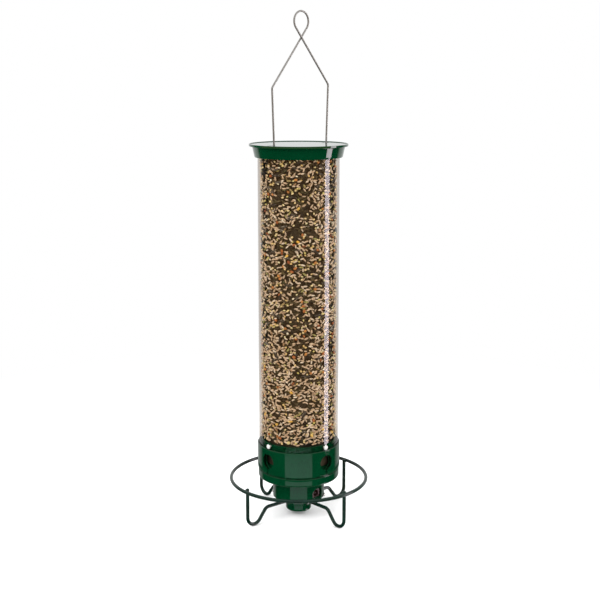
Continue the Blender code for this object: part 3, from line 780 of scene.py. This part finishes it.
def build_fasteners():
    """Domed rivets through the tube, and cross-head screws in the housing's side."""
    start = SKIRT_INNER - 1 * MM
    tail, seat = SKIRT_INNER - GAP - start, TUBE_OUTER + GAP - start
    for i, turn in enumerate(QUARTERS):
        outline = [(0, tail, 0), (RIVET_SHANK, tail, 0), (RIVET_SHANK, seat, 0), (RIVET_HEAD, seat, 0.1 * MM)]
        dome = [math.radians(11 * k) for k in range(1, 8)]
        outline += [(RIVET_HEAD * math.cos(a), seat + RIVET_RISE * math.sin(a), 0) for a in dome]
        outline.append((0, seat + RIVET_RISE, 0))
        place = pointing(out(turn, start, RIVET_HEIGHT), out(turn, TUBE_OUTER, RIVET_HEIGHT))
        rivet = turned(f"rivet_{i + 1}", outline, 32, place)
        # the rivet heads' pale matt colour is painted reflection
        piece(rivet, "feeder", "bright_steel", [f"tube_rivet_{i + 1}"], "rivet_steel_painted_reflection")
    start = 0.0180
    seat = outer_radius("motor_housing") + GAP - start
    shank, head, flat = 0.7 * MM, 1.8 * MM, 1.0 * MM
    wide, narrow = 1.1 * MM, 0.22 * MM  # the two bars of the cross
    for i, turn in enumerate(SCREW_TURNS):
        outline = [
            (0, 0, 0),
            (shank, 0, 0),
            (shank, seat, 0),
            (head, seat, 0.1 * MM),
            (head - 0.05 * MM, seat + 0.7 * MM, 0.4 * MM),
            (flat, seat + 1.2 * MM, 0.3 * MM),
            (0, seat + 1.3 * MM, 0),
        ]
        place = pointing(out(turn, start, SCREW_HEIGHT), out(turn, 2 * start, SCREW_HEIGHT))
        screw = turned(f"screw_{i + 1}", outline, 32, place)
        cross = []
        for x, y in ((wide, narrow), (narrow, wide)):
            bar = block((-x, -y, seat + 0.6 * MM), (x, y, seat + PAST))
            bar.data.transform(place)
            cross.append(bar)
        carve(screw, cross)
        piece(screw, "feeder", "bright_steel", [f"cover_screw_{i + 1}"])


def build_cap():
    """A flanged lid with a shallow dished top, which slides up the two hanger strands."""
    low, high, rim = extent("top_cap")
    flange = 0.3844
    roof = TUBE_HIGH + GAP
    dish = high - 0.6 * MM
    inner, outer = 0.0421, 0.0439  # radii at the skirt's foot
    lip = 0.0489  # inside of the raised rim
    outline = [
        (0, roof, 0),
        (inner + 1.9 * MM, roof, 0.5 * MM),
        (inner + 0.3 * MM, low + 3.5 * MM, 0.5 * MM),
        (inner, low, 0.5 * MM),
        (outer, low, 0.6 * MM),
        (outer + 0.5 * MM, low + 1.8 * MM, 0.6 * MM),
        (outer + 2.5 * MM, flange, 0.5 * MM),
        (rim, flange, 0.4 * MM),
        (rim, high, 0.25 * MM),
        (lip, high, 0.15 * MM),
        (lip - 0.3 * MM, dish, 0.3 * MM),
        (0, dish, 0),
    ]
    cap = turned("top_cap_fine", outline)
    near, far = 0.0309, 0.0408  # ends of the slots that the strands run in
    half, bottom, top = 1.5 * MM, TUBE_HIGH - 1 * MM, high + 1 * MM
    slots = [block((-half, a, bottom), (half, b, top)) for a, b in ((-far, -near), (near, far))]
    carve(cap, slots)
    piece(cap, "cap", "green_gloss", ["top_cap"])


def tangent_point(point, centre, radius, side):
    """Where a line from a point touches a circle, left (1) or right (-1) of the way to its centre."""
    to_centre = centre - point
    swing = side * math.acos(radius / to_centre.length)
    return centre - Matrix.Rotation(swing, 2) @ (to_centre.normalized() * radius)


def build_hanger():
    """One steel wire: two hooks in the tube's wall, two strands up through the cap, crossed into a loop."""
    left, right = WIRE_SHOULDERS
    enter = tangent_point(left, LOOP_CENTRE, LOOP_RADIUS, 1)
    leave = tangent_point(right, LOOP_CENTRE, LOOP_RADIUS, -1)
    start = math.atan2(*(enter - LOOP_CENTRE).yx)
    end = math.atan2(*(leave - LOOP_CENTRE).yx) % math.tau
    loop = []
    steps = 48
    for i in range(steps + 1):
        part = i / steps
        angle = start + (end - start) * part
        around = LOOP_CENTRE + Vector((math.cos(angle), math.sin(angle))) * LOOP_RADIUS
        loop.append(Vector((LOOP_LEAN * (2 * part - 1), around.x, around.y)))
    strands = []
    for foot, shoulder, loop_end in ((WIRE_FEET[0], left, loop[0]), (WIRE_FEET[1], right, loop[-1])):
        corners = [
            Vector((0, math.copysign(HOOK_END, foot), HOOK_HEIGHT)),
            Vector((0, foot, HOOK_HEIGHT)),
            Vector((0, foot, heights("top_cap")[1])),
            Vector((0, shoulder.x, shoulder.y)),
            loop_end,
        ]
        strands.append(rounded(corners, (HOOK_BEND, HOOK_BEND, SHOULDER_BEND), 10)[:-1])
    path = resampled(strands[0] + loop + strands[1][::-1], 3 * MM)
    wire = swept("hanger_wire_fine", path, WIRE_RADIUS, 18, dome=0.1)
    piece(wire, "feeder", "wire_steel", ["hanger_wire"])


# ---------------- perch


def leg_path(turn):
    """A leg: run out of the hub, shoulder, slope down to the foot's bend, upright to the ring."""
    shoulder = Vector((LEG_SHOULDER, LEG_RUN))
    foot_centre = Vector((LEG_UPRIGHT - LEG_FOOT_BEND, PERCH_WIRE + LEG_FOOT_BEND))
    to_centre = foot_centre - shoulder
    slope = math.atan2(to_centre.y, to_centre.x) - math.asin(LEG_FOOT_BEND / to_centre.length)
    below = LEG_RUN + (LEG_UPRIGHT - LEG_SHOULDER) * math.tan(slope)
    end = LEG_TOP - 0.6 * PERCH_WIRE
    profile = [(0.0064, LEG_RUN), (LEG_SHOULDER, LEG_RUN), (LEG_UPRIGHT, below), (LEG_UPRIGHT, end)]
    corners = [out(turn, radius, height) for radius, height in profile]
    return resampled(rounded(corners, (LEG_SHOULDER_BEND, LEG_FOOT_BEND), 16), 4 * MM)


def weld_bead(name, turn):
    """The small saddle of weld that joins a leg's upright to the ring."""
    middle = out(turn, RING_RADIUS - PERCH_WIRE - GAP / 2, RING_HEIGHT)
    rings, sides = 10, 16
    vertices = []
    for i in range(1, rings):
        polar = math.pi * i / rings
        for k in range(sides):
            angle = math.tau * k / sides
            x = 0.75 * MM * math.sin(polar) * math.cos(angle)
            y = (1.45 + 0.1 * math.sin(5 * angle)) * MM * math.sin(polar) * math.sin(angle)
            z = (1.9 + 0.08 * math.cos(3 * angle)) * MM * math.cos(polar)
            vertices.append((x, y, z))
    bead = ringed(name, vertices, sides)
    bead.data.transform(Matrix.Translation(middle) @ Matrix.Rotation(math.radians(turn - 90), 4, "Z"))
    return bead


def build_perch():
    around = [out(360 * i / FINE, RING_RADIUS, RING_HEIGHT) for i in range(FINE)]
    ring = swept("perch_ring_fine", around, PERCH_WIRE, 24, closed=True)
    piece(ring, "perch", "perch_coat", ["perch_ring"])
    for i, turn in enumerate(LEG_TURNS):
        leg = swept(f"perch_leg_fine_{i + 1}", leg_path(turn), PERCH_WIRE)
        piece(leg, "perch", "perch_coat", [f"perch_leg_{i + 1}"])
        piece(weld_bead(f"leg_weld_{i + 1}", turn), "perch", "perch_coat")
    low, high, outer = extent("leg_hub")
    bore = 0.0023
    edge = 0.2 * MM
    outline = [(bore, low, edge), (outer, low, 0.9 * MM), (outer, high, 0.8 * MM), (bore, high, edge)]
    hub = turned("leg_hub_fine", outline, 128)
    carve(hub, drills(LEG_TURNS, LEG_RUN, 0.0059, 0.0180, PERCH_WIRE + GAP, 48), lip=0.15 * MM)
    piece(hub, "perch", "green_gloss", ["leg_hub"])
    low, high, outer = extent("hub_knob")
    bottom = 0.0063  # of the bore
    outline = [
        (0, low, 0),
        (outer, low, 2.6 * MM),
        (outer, high, 0.3 * MM),
        (bore, high, edge),
        (bore, bottom, 0),
        (0, bottom, 0),
    ]
    piece(turned("hub_knob_fine", outline, 128), "perch", "green_gloss", ["hub_knob"])


# ---------------- seed


def grain_shape(rings, sides, fullness, flat, point=1.0):
    """A closed seed along X from -1 to 1, 1 wide and flat thick, blunter as fullness grows."""
    vertices = [(-1.0, 0.0, 0.0)]
    for i in range(1, rings + 1):
        x = -math.cos(math.pi * i / (rings + 1))
        width = (1 - abs(x) ** fullness) ** point
        for k in range(sides):
            angle = math.tau * (k + 0.5 * (i % 2)) / sides
            vertices.append((x, width * math.cos(angle), width * flat * math.sin(angle)))
    vertices.append((1.0, 0.0, 0.0))
    faces = []
    last = len(vertices) - 1
    for k in range(sides):
        m = (k + 1) % sides
        faces.append((0, 1 + m, 1 + k))
        faces.append((last, last - sides + k, last - sides + m))
        for i in range(rings - 1):
            a, b = 1 + i * sides, 1 + (i + 1) * sides
            if i % 2 == 0:
                faces.append((a + k, a + m, b + k))
                faces.append((a + m, b + m, b + k))
            else:
                faces.append((a + k, a + m, b + m))
                faces.append((a + k, b + m, b + k))
    return np.array(vertices), np.array(faces)


class Wall:
    """The unrolled inside of the tube, which remembers where seeds already lie."""

    CELL = 0.25 * MM
    SAMPLES = 40

    def __init__(self, rng, radius, low, high):
        self.rng = rng
        self.radius = radius
        self.low = low
        self.high = high
        self.around = round(math.tau * radius / self.CELL)
        self.taken = np.zeros((self.around, int((high - low) / self.CELL) + 1), bool)
        disc = rng.uniform(-1, 1, (self.SAMPLES * 3, 2))
        self.disc = disc[(disc**2).sum(1) < 1][: self.SAMPLES]
        self.patches = rng.random((15, 18))  # how readily pale seeds gather in each part of the wall

    def patch(self, arc, height):
        columns, rows = self.patches.shape
        across = int(arc / (math.tau * self.radius) * columns) % columns
        up = int((height - self.low) / (self.high - self.low) * rows) % rows
        return self.patches[across, up]

    def place(self, count, half_length, half_width, overlap, tries=8, favour=None, gather=0.0):
        """Lays up to count seeds where they overlap others least: arc, height, angle and size of each."""
        laid = []
        for _ in range(count * tries):
            if len(laid) >= count:
                break
            arc = self.rng.uniform(0, math.tau * self.radius)
            height = self.rng.uniform(self.low, self.high)
            if favour and self.rng.random() > favour((height - self.low) / (self.high - self.low)):
                continue
            if self.rng.random() < gather * (1 - self.patch(arc, height)):
                continue
            angle = self.rng.normal(0, math.radians(40)) % math.pi
            size = self.rng.uniform(0.86, 1.14)
            cos, sin = math.cos(angle), math.sin(angle)
            reach = half_length * size * 0.9
            tall = reach * abs(sin) + half_width * size * abs(cos) + 0.3 * MM
            if not self.low + tall < height < self.high - tall:
                continue
            along = self.disc[:, 0] * reach
            across = self.disc[:, 1] * half_width * size * 0.85
            cells = ((arc + along * cos - across * sin) / self.CELL).astype(int) % self.around
            rows = ((height - self.low + along * sin + across * cos) / self.CELL).astype(int)
            rows = rows.clip(0, self.taken.shape[1] - 1)
            if self.taken[cells, rows].mean() > overlap:
                continue
            self.taken[cells, rows] = True
            laid.append((arc / self.radius, height, angle, size))
        return laid


def grains(name, finish, shape, size, spots, depth, rng, tilt=12):
    """One piece of many seeds laid flat against the tube's wall, at the given spots and depth."""
    base, faces = shape
    half_length, half_width = size[0] / 2, size[1] / 2
    wall_radius = SEED_WALL - depth
    upright = Matrix.Rotation(math.pi / 2, 3, "Z")
    every = []
    for azimuth, height, angle, scale in spots:
        lean = math.radians(rng.normal(0, tilt))
        roll = rng.uniform(-0.7, 0.7)
        length = half_length * scale
        width = half_width * scale * rng.uniform(0.9, 1.1)
        curve = length**2 * math.cos(angle) ** 2 / (2 * wall_radius)
        sunk = abs(math.sin(lean)) * length * 0.7 + width * 0.85 + curve
        spin = Matrix.Rotation(azimuth, 3, "Z")
        lay = Matrix.Rotation(-angle, 3, "X") @ Matrix.Rotation(lean, 3, "Z") @ upright
        turn = np.array(spin @ lay @ Matrix.Rotation(roll, 3, "X"))
        centre = np.array(spin @ Vector((wall_radius - sunk, 0, 0))) + (0, 0, height)
        bent = 0.04 * rng.normal() * (1 - base[:, 0] ** 2)
        local = base * (length, width, width)
        local[:, 1] += bent * length
        every.append(local @ turn.T + centre)
    return grain_piece(name, finish, every, base, faces)


def grain_piece(name, finish, every, base, faces):
    """Joins placed copies of one grain into a piece, and stores each point's place on its grain."""
    count = len(every)
    offsets = (np.arange(count) * len(base))[:, None, None]
    thing = made(name, np.concatenate(every), (faces[None] + offsets).reshape(-1, 3))
    local = thing.data.attributes.new("grain", "FLOAT_VECTOR", "POINT")
    shifts = np.repeat(np.arange(count) * 3.7, len(base))[:, None]
    places = np.tile(base, (count, 1)) + shifts * (1, 0, 0)
    local.data.foreach_set("vector", places.astype(np.float32).ravel())
    facing_out(thing)
    return piece(thing, "feeder", "mixed_seed", (), finish)


# How readily a seed settles, from the bottom (0) to the top (1) of the wall


def upper(part):
    return 0.35 + 0.65 * part


def lower(part):
    return 1.0 - 0.55 * part


def bottom(part):
    return max(0.04, 1.0 - 6 * part)


def build_seed():
    """Mixed seed behind the clear wall: sunflower, canary, oat, corn, milo and millet over dark husks."""
    rng = np.random.default_rng(11)
    low, high = 0.0843, SEED_HIGH  # the wall shows from just above the baffle's skirt
    spindle = grain_shape(5, 8, 2.2, 0.85, 0.7)
    plump = grain_shape(5, 8, 2.6, 0.9, 0.6)
    stout = grain_shape(5, 8, 2.0, 0.9, 0.5)
    coarse = grain_shape(3, 6, 2.2, 0.8, 0.7)
    hull = grain_shape(9, 12, 2.2, 0.62, 0.75)

    def lay(name, finish, shape, count, wall, overlap, room, size, depth=0.0, tilt=12, **likes):
        """Lays one kind of seed; room, the half size that it keeps clear, and the rest are in mm."""
        spots = wall.place(count, room[0] * MM, room[1] * MM, overlap, **likes)
        drawn = (size[0] * MM, size[1] * MM)
        grains("seeds_" + name, "seed_" + finish, shape, drawn, spots, depth * MM, rng, tilt)

    front = Wall(rng, SEED_WALL, low, high)
    lay("sunflower", "sunflower", hull, 230, front, 0.05, (5.2, 2.4), (10.4, 4.8), 0.1, 5, favour=upper)
    lay("canary", "cream", spindle, 2300, front, 0.05, (2.1, 1.0), (4.2, 2.0), favour=lower, gather=0.9)
    lay("oat", "cream", plump, 1300, front, 0.10, (2.3, 0.95), (4.7, 1.9), favour=lower, gather=0.9)
    lay("corn", "corn", stout, 110, front, 0.10, (2.0, 1.6), (4.0, 3.2), favour=bottom)
    lay("milo", "milo", stout, 170, front, 0.10, (1.8, 1.5), (3.6, 3.0), favour=lower)
    lay("millet", "millet", stout, 900, front, 0.10, (1.25, 1.0), (2.5, 2.0))
    middle = Wall(rng, SEED_WALL, low, high)
    lay("husk", "husk", coarse, 2600, middle, 0.15, (3.2, 1.3), (6.4, 2.6), 1.3, 14)
    lay("canary_deep", "cream", coarse, 1300, middle, 0.30, (2.3, 0.95), (4.6, 2.0), 1.6, 18, favour=lower)
    back = Wall(rng, SEED_WALL - 2 * MM, low, high)
    lay("husk_deep", "husk", coarse, 1900, back, 0.20, (3.6, 1.6), (7.2, 3.2), 2.8, 14)
    build_core(SEED_WALL - 4.2 * MM)
    build_port_seed(rng)
    build_top_seed(rng)


def build_core(radius):
    """The mass of seed behind what the wall shows, round the battery column; its near-black colour is painted
    shade for the deep seed.
    """
    clear = 3 * MM  # to the cone below and to the top of the fill
    column, column_high = 0.0094, 0.2524
    outline = [
        (0, column_high, 0),
        (column, column_high, 0),
        (column, 0.0880, 0),
        (0.0130, 0.0863, 0),
        (0.0330, 0.0566 + clear, 0),
        (radius - 1 * MM, 0.0580, 0),
        (radius, 0.0620, 0),
        (radius, SEED_HIGH - clear, 0),
        (0, SEED_HIGH - clear, 0),
    ]
    core = turned("seed_core", outline, 96, soft=False)
    piece(core, "feeder", "mixed_seed", ["seed_fill"], "seed_core")


def build_port_seed(rng):
    """Seeds on the baffle's cone, just inside the four ports; the dark ones carry painted shade, near-black
    colours for the shade inside the ports.
    """
    shape = grain_shape(5, 8, 2.2, 0.8, 0.7)
    spread, ledge = 8.6 * MM, 0.036  # how far from a port's middle, and the radius they lie at
    # the dark grains are painted near black: painted shade for the inside of the ports
    for kind, finish, count in (("dark", "seed_painted_shade", 44), ("red", "seed_milo", 3)):
        spots = []
        for turn in QUARTERS:
            for _ in range(count):
                angle = rng.uniform(0, math.tau)
                off = spread * math.sqrt(rng.random())
                azimuth = math.radians(turn - 90) + off * math.cos(angle) / ledge
                height = PORT_HEIGHT - 1 * MM + off * math.sin(angle)
                spots.append((azimuth, height, rng.uniform(0, math.pi), 1.0))
        grains(f"seeds_port_{kind}", finish, shape, (5.2 * MM, 2.2 * MM), spots, 6.0 * MM, rng, 15)


def build_top_seed(rng):
    """Seeds on the level top of the fill, seen when the cap is slid up."""
    base, faces = grain_shape(5, 8, 2.2, 0.8, 0.7)
    spread = 35.8 * MM
    size = (2.5 * MM, 1.0 * MM, 1.0 * MM)
    for kind, finish, count in (("dark", "seed_husk", 420), ("pale", "seed_cream", 520)):
        every = []
        for _ in range(count):
            radius = spread * math.sqrt(rng.random())
            spin = Matrix.Rotation(rng.uniform(0, math.tau), 3, "Z")
            turn = spin @ Matrix.Rotation(rng.normal(0, 0.2), 3, "Y")
            centre = out(rng.uniform(0, 360), radius, SEED_HIGH - rng.uniform(1.9, 3.2) * MM)
            every.append((base * size) @ np.array(turn).T + np.array(centre))
        grain_piece(f"seeds_top_{kind}", finish, every, base, faces)


# ---------------- studio


def aimed(thing, place, target):
    thing.location = place
    thing.rotation_euler = (Vector(target) - Vector(place)).to_track_quat("-Z", "Y").to_euler()


def softbox(name, turn, distance, height, power):
    """A square area light at a turn round the object, aimed at its lower half, which no gloss shows."""
    lamp = bpy.data.lights.new(name, "AREA")
    lamp.size = 1.2
    lamp.energy = power
    thing = linked(name, lamp)
    aimed(thing, out(turn, distance, height), (0, 0, 0.2))
    thing.visible_camera = False
    thing.visible_glossy = False


def card(name, turn, distance, width, low, high, strength, tint):
    """An upright glowing panel that only reflections see."""
    middle = out(turn, distance, (low + high) / 2)
    across = out(turn + 90, width / 2)
    corners = [middle - across, middle + across]
    vertices = [(c.x, c.y, z) for z in (low, high) for c in corners]
    panel = made(name, vertices, [(0, 1, 3, 2)])
    glow = bpy.data.materials.new(name)
    glow.use_nodes = True
    tree = glow.node_tree
    tree.nodes.remove(tree.nodes["Principled BSDF"])
    light = node(tree, "Emission", {"Color": tint, "Strength": strength})
    feed(tree.nodes["Material Output"], "Surface", light.outputs[0])
    panel.data.materials.append(glow)
    for ray in ("camera", "diffuse", "shadow", "transmission"):
        setattr(panel, "visible_" + ray, False)


def vector_maths(tree, operation, *values, output="Vector"):
    return node(tree, "VectorMath", dict(enumerate(values)), operation=operation).outputs[output]


def build_world():
    """White to the camera and to matt surfaces; reflections see a dark room with a white wall behind.

    A direction's share is 0 straight behind the object and 1 at the camera's side, round the
    compass; its rise is the sine of its elevation. A low panel stands at the camera's side.
    """
    world = bpy.data.worlds.new("studio")
    bpy.context.scene.world = world
    world.use_nodes = True
    tree = world.node_tree
    rays = node(tree, "LightPath")
    direction = node(tree, "TexCoord").outputs["Generated"]
    flat = vector_maths(tree, "NORMALIZE", vector_maths(tree, "MULTIPLY", direction, (1, 1, 0)))
    facing = vector_maths(tree, "DOT_PRODUCT", flat, tuple(out(CAMERA_TURN, 1)), output="Value")
    share = rising(facing, -1.0, 1.0)
    rise = node(tree, "SeparateXYZ", {"Vector": direction}).outputs["Z"]
    brown = (0.45, 0.20, 0.05)
    panel = (0.72, 0.85, 0.85)
    wall_below = ((0.0, 0.6), (0.16, 0.5), (0.24, 0.0))
    wall_above = ((0.0, 1.0), (0.18, 0.9))
    dark_room = ramp(share, (*wall_below, (1.0, 0.0)))
    panel_room = ramp(share, (*wall_below, (0.888, 0.0), (0.894, panel), (1.0, panel)))
    brown_room = ramp(share, (*wall_above, (0.25, 0.03), (0.42, 0.03), (0.5, brown), (1.0, brown)))
    sky_room = ramp(share, (*wall_above, (0.4, 0.5), (1.0, 0.5)))
    over_floor = rising(rise, -0.322, -0.306)
    over_horizon = rising(rise, -0.03, 0.03)
    overhead = rising(rise, 0.42, 0.55)
    panel_foot = rising(rise, -0.445, -0.438)
    panel_head = rising(rise, -0.334, -0.337)
    on_panel = maths(tree, "MULTIPLY", panel_foot, panel_head)
    mirror = mixed(over_floor, mixed(on_panel, dark_room, panel_room), brown_room)
    mirror = mixed(over_horizon, mirror, sky_room)
    mirror = mixed(overhead, mirror, (1.1, 1.1, 1.1, 1))
    soft = mixed(rays.outputs["Is Diffuse Ray"], mirror, (1.5, 1.5, 1.5, 1))
    seen = mixed(rays.outputs["Is Camera Ray"], soft, (1, 1, 1, 1))
    feed(tree.nodes["Background"], "Color", seen)


def build_floor():
    """A wide pale floor that fades into the white backdrop."""
    radius, bottom, top = 6.0, -2 * MM, -0.1 * MM
    outline = [(0, bottom, 0), (radius, bottom, 0), (radius, top, 0), (0, top, 0)]
    floor = turned("floor", outline, 128, soft=False)
    new, tree, shader, place = material("floor", 0.6)
    grain = noise(place, 60, 4)
    feed(shader, "Base Color", ramp(grain, ((0.3, 0.90), (0.7, 0.93))))
    shader.inputs["Specular IOR Level"].default_value = 0.0
    bump(shader, grain, 0.05, 0.2 * MM)
    distance = vector_maths(tree, "LENGTH", place, output="Value")
    fade = rising(distance, 0.04, 0.7, interpolation_type="SMOOTHSTEP")
    glow = node(tree, "Emission", {"Color": (1, 1, 1, 1), "Strength": 1.0})
    shown(fade, shader, glow)
    floor.data.materials.append(new)
    floor.visible_glossy = False


def build_lights():
    softbox("key", CAMERA_TURN - 50, 1.6, 1.5, 30)
    softbox("fill", CAMERA_TURN + 60, 1.8, 1.1, 18)
    turn, reach = CAMERA_TURN + 86.5, 2.0
    width = 4 * reach * math.tan(math.radians(4.2))
    pink = (1, 0.88, 0.95, 1)
    card("stripe_card", turn, reach, width, -0.605, 0.9, 8.0, pink)
    card("low_stripe_card", turn, reach, width, -2.2, -1.1, 5.5, pink)


def build_camera():
    data = bpy.data.cameras.new("camera")
    data.lens = LENS
    data.shift_x, data.shift_y = SHIFT
    data.clip_start = 0.01
    thing = linked("camera", data)
    place = out(CAMERA_TURN, CAMERA_DISTANCE, CAMERA_HEIGHT)
    pitch = math.radians(CAMERA_PITCH)
    ahead = -out(CAMERA_TURN, math.cos(pitch), math.sin(pitch))
    aimed(thing, place, place + ahead)
    bpy.context.scene.camera = thing


def main():
    build_camera()
    build_world()
    build_floor()
    build_lights()
    paint_cad_nodes()
    build_tube()
    build_sleeve()
    build_baffle()
    build_band()
    build_housing()
    build_fasteners()
    build_cap()
    build_hanger()
    build_perch()
    build_seed()
    bpy.context.scene.view_settings.view_transform = "Standard"


main()
